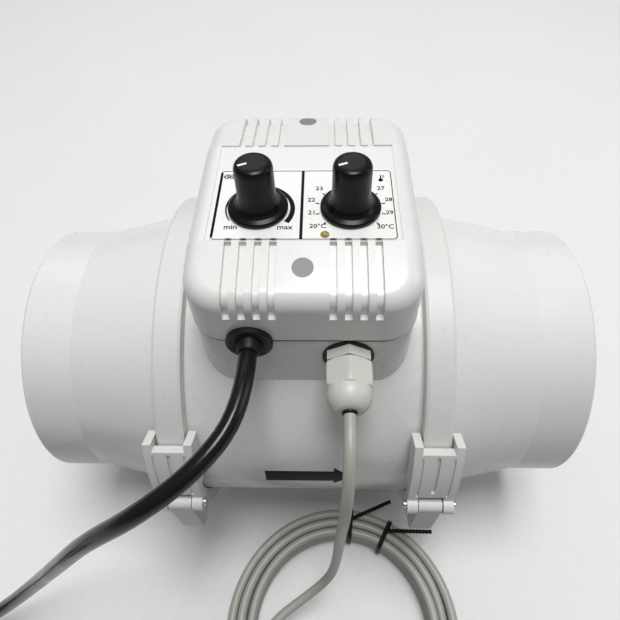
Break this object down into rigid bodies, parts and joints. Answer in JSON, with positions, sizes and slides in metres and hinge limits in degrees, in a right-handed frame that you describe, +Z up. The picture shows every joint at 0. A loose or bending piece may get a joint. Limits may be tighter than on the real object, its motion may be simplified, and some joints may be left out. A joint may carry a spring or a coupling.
{
  "type": "inline duct fan",
  "caption": "Inline mixed-flow duct fan with tapered spigots, clamp straps, a terminal box with two control knobs, a mains cord and a coiled sensor lead.",
  "frame": {"origin": "centre of the mounting bracket's base on the surface it stands on, under the middle of the duct", "axes": "+X along the airflow from inlet spigot to outlet spigot, +Z up through the terminal box, -Y towards the latches and cable entries"},
  "size_m": [0.523, 0.3139, 0.2166],
  "materials": {
    "white_plastic": "white semi-gloss moulded plastic",
    "white_satin": "white satin moulded plastic",
    "black_plastic": "black satin moulded plastic",
    "white_ink": "white filled line",
    "grey_cap": "grey moulded cap",
    "label_film": "printed label film",
    "brass_lens": "amber lens",
    "gland_grey": "warm light-grey nylon",
    "black_rubber": "black rubber",
    "grey_rubber": "grey foam gasket",
    "grey_sheath": "light-grey PVC sheath",
    "steel": "bright steel",
    "dark_steel": "laminated electrical steel",
    "zinc": "cast aluminium",
    "copper": "enamelled copper winding",
    "fan_grey": "light-grey moulded impeller plastic",
    "board_green": "green circuit board",
    "component_blue": "blue component case"
  },
  "bodies": {
    "fan_housing": {"box_lid": "white_plastic", "cable_grommet": "black_rubber", "capacitor": "component_blue", "centre_casing": "white_plastic", "circuit_board": "board_green", "control_label": "label_film", "cord_ties": "black_rubber", "front_bearing": "steel", "gland_body": "gland_grey", "gland_dome_nut": "gland_grey", "gland_locknut": "gland_grey", "gland_seal": "black_rubber", "guide_vanes": "white_satin", "indicator_lens": "brass_lens", "inlet_gasket": "grey_rubber", "inlet_spigot": "white_plastic", "left_strap_pin": "steel", "lid_screws": "steel", "mains_cord": "black_rubber", "mains_cord_coil": "black_rubber", "mains_cord_tail": "black_rubber", "mains_plug": "black_rubber", "motor_can": "zinc", "motor_end_shield": "zinc", "mounting_bracket": "white_satin", "outlet_gasket": "grey_rubber", "outlet_spigot": "white_plastic", "pot_nuts": "steel", "rear_bearing": "steel", "right_strap_pin": "steel", "screw_caps": "grey_cap", "sensor_cord": "grey_sheath", "sensor_cord_coil": "grey_sheath", "sensor_cord_tail": "grey_sheath", "sensor_probe": "black_rubber", "speed_potentiometer": "zinc", "stator_core": "dark_steel", "stator_windings": "copper", "terminal_block": "white_satin", "terminal_box_base": "white_plastic", "thermostat_potentiometer": "zinc", "triac_heatsink": "zinc"},
    "impeller_assembly": {"impeller": "fan_grey", "impeller_nut": "steel", "rotor_core": "dark_steel", "motor_shaft": "steel"},
    "left_strap": {"left_clamp_strap": "white_satin"},
    "right_strap": {"right_clamp_strap": "white_satin"},
    "left_lever": {"left_latch_lever": "white_satin", "left_latch_pin": "steel"},
    "right_lever": {"right_latch_lever": "white_satin", "right_latch_pin": "steel"},
    "speed_control": {"speed_knob": "black_plastic", "speed_knob_pointer": "white_ink", "speed_pot_shaft": "steel"},
    "thermostat_control": {"thermostat_knob": "black_plastic", "thermostat_knob_pointer": "white_ink", "thermostat_pot_shaft": "steel"}
  },
  "joints": [
    {"name": "impeller_spin", "type": "hinge", "parent": "fan_housing", "child": "impeller_assembly", "pos_m": [0, 0, 0.086], "axis": [1, 0, 0], "continuous": true},
    {"name": "speed_knob_turn", "type": "hinge", "parent": "fan_housing", "child": "speed_control", "pos_m": [-0.0157, -0.01075, 0.196], "axis": [0, 0, 1], "range_deg": [-242, 18]},
    {"name": "thermostat_knob_turn", "type": "hinge", "parent": "fan_housing", "child": "thermostat_control", "pos_m": [0.0179, -0.01075, 0.196], "axis": [0, 0, 1], "range_deg": [-242, 18]},
    {"name": "left_strap_hinge", "type": "hinge", "parent": "fan_housing", "child": "left_strap", "pos_m": [-0.0545, 0.0845, 0.086], "axis": [-1, 0, 0], "range_deg": [0, 24]},
    {"name": "left_lever_hinge", "type": "hinge", "parent": "fan_housing", "child": "left_lever", "pos_m": [-0.0545, -0.0845, 0.091], "axis": [1, 0, 0], "range_deg": [0, 120]},
    {"name": "right_strap_hinge", "type": "hinge", "parent": "fan_housing", "child": "right_strap", "pos_m": [0.0545, 0.0845, 0.086], "axis": [-1, 0, 0], "range_deg": [0, 24]},
    {"name": "right_lever_hinge", "type": "hinge", "parent": "fan_housing", "child": "right_lever", "pos_m": [0.0545, -0.0845, 0.091], "axis": [1, 0, 0], "range_deg": [0, 120]}
  ],
  "couplings": [
    {"joint": "left_lever_hinge", "follows": "left_strap_hinge", "ratio": 5},
    {"joint": "right_lever_hinge", "follows": "right_strap_hinge", "ratio": 5}
  ]
}
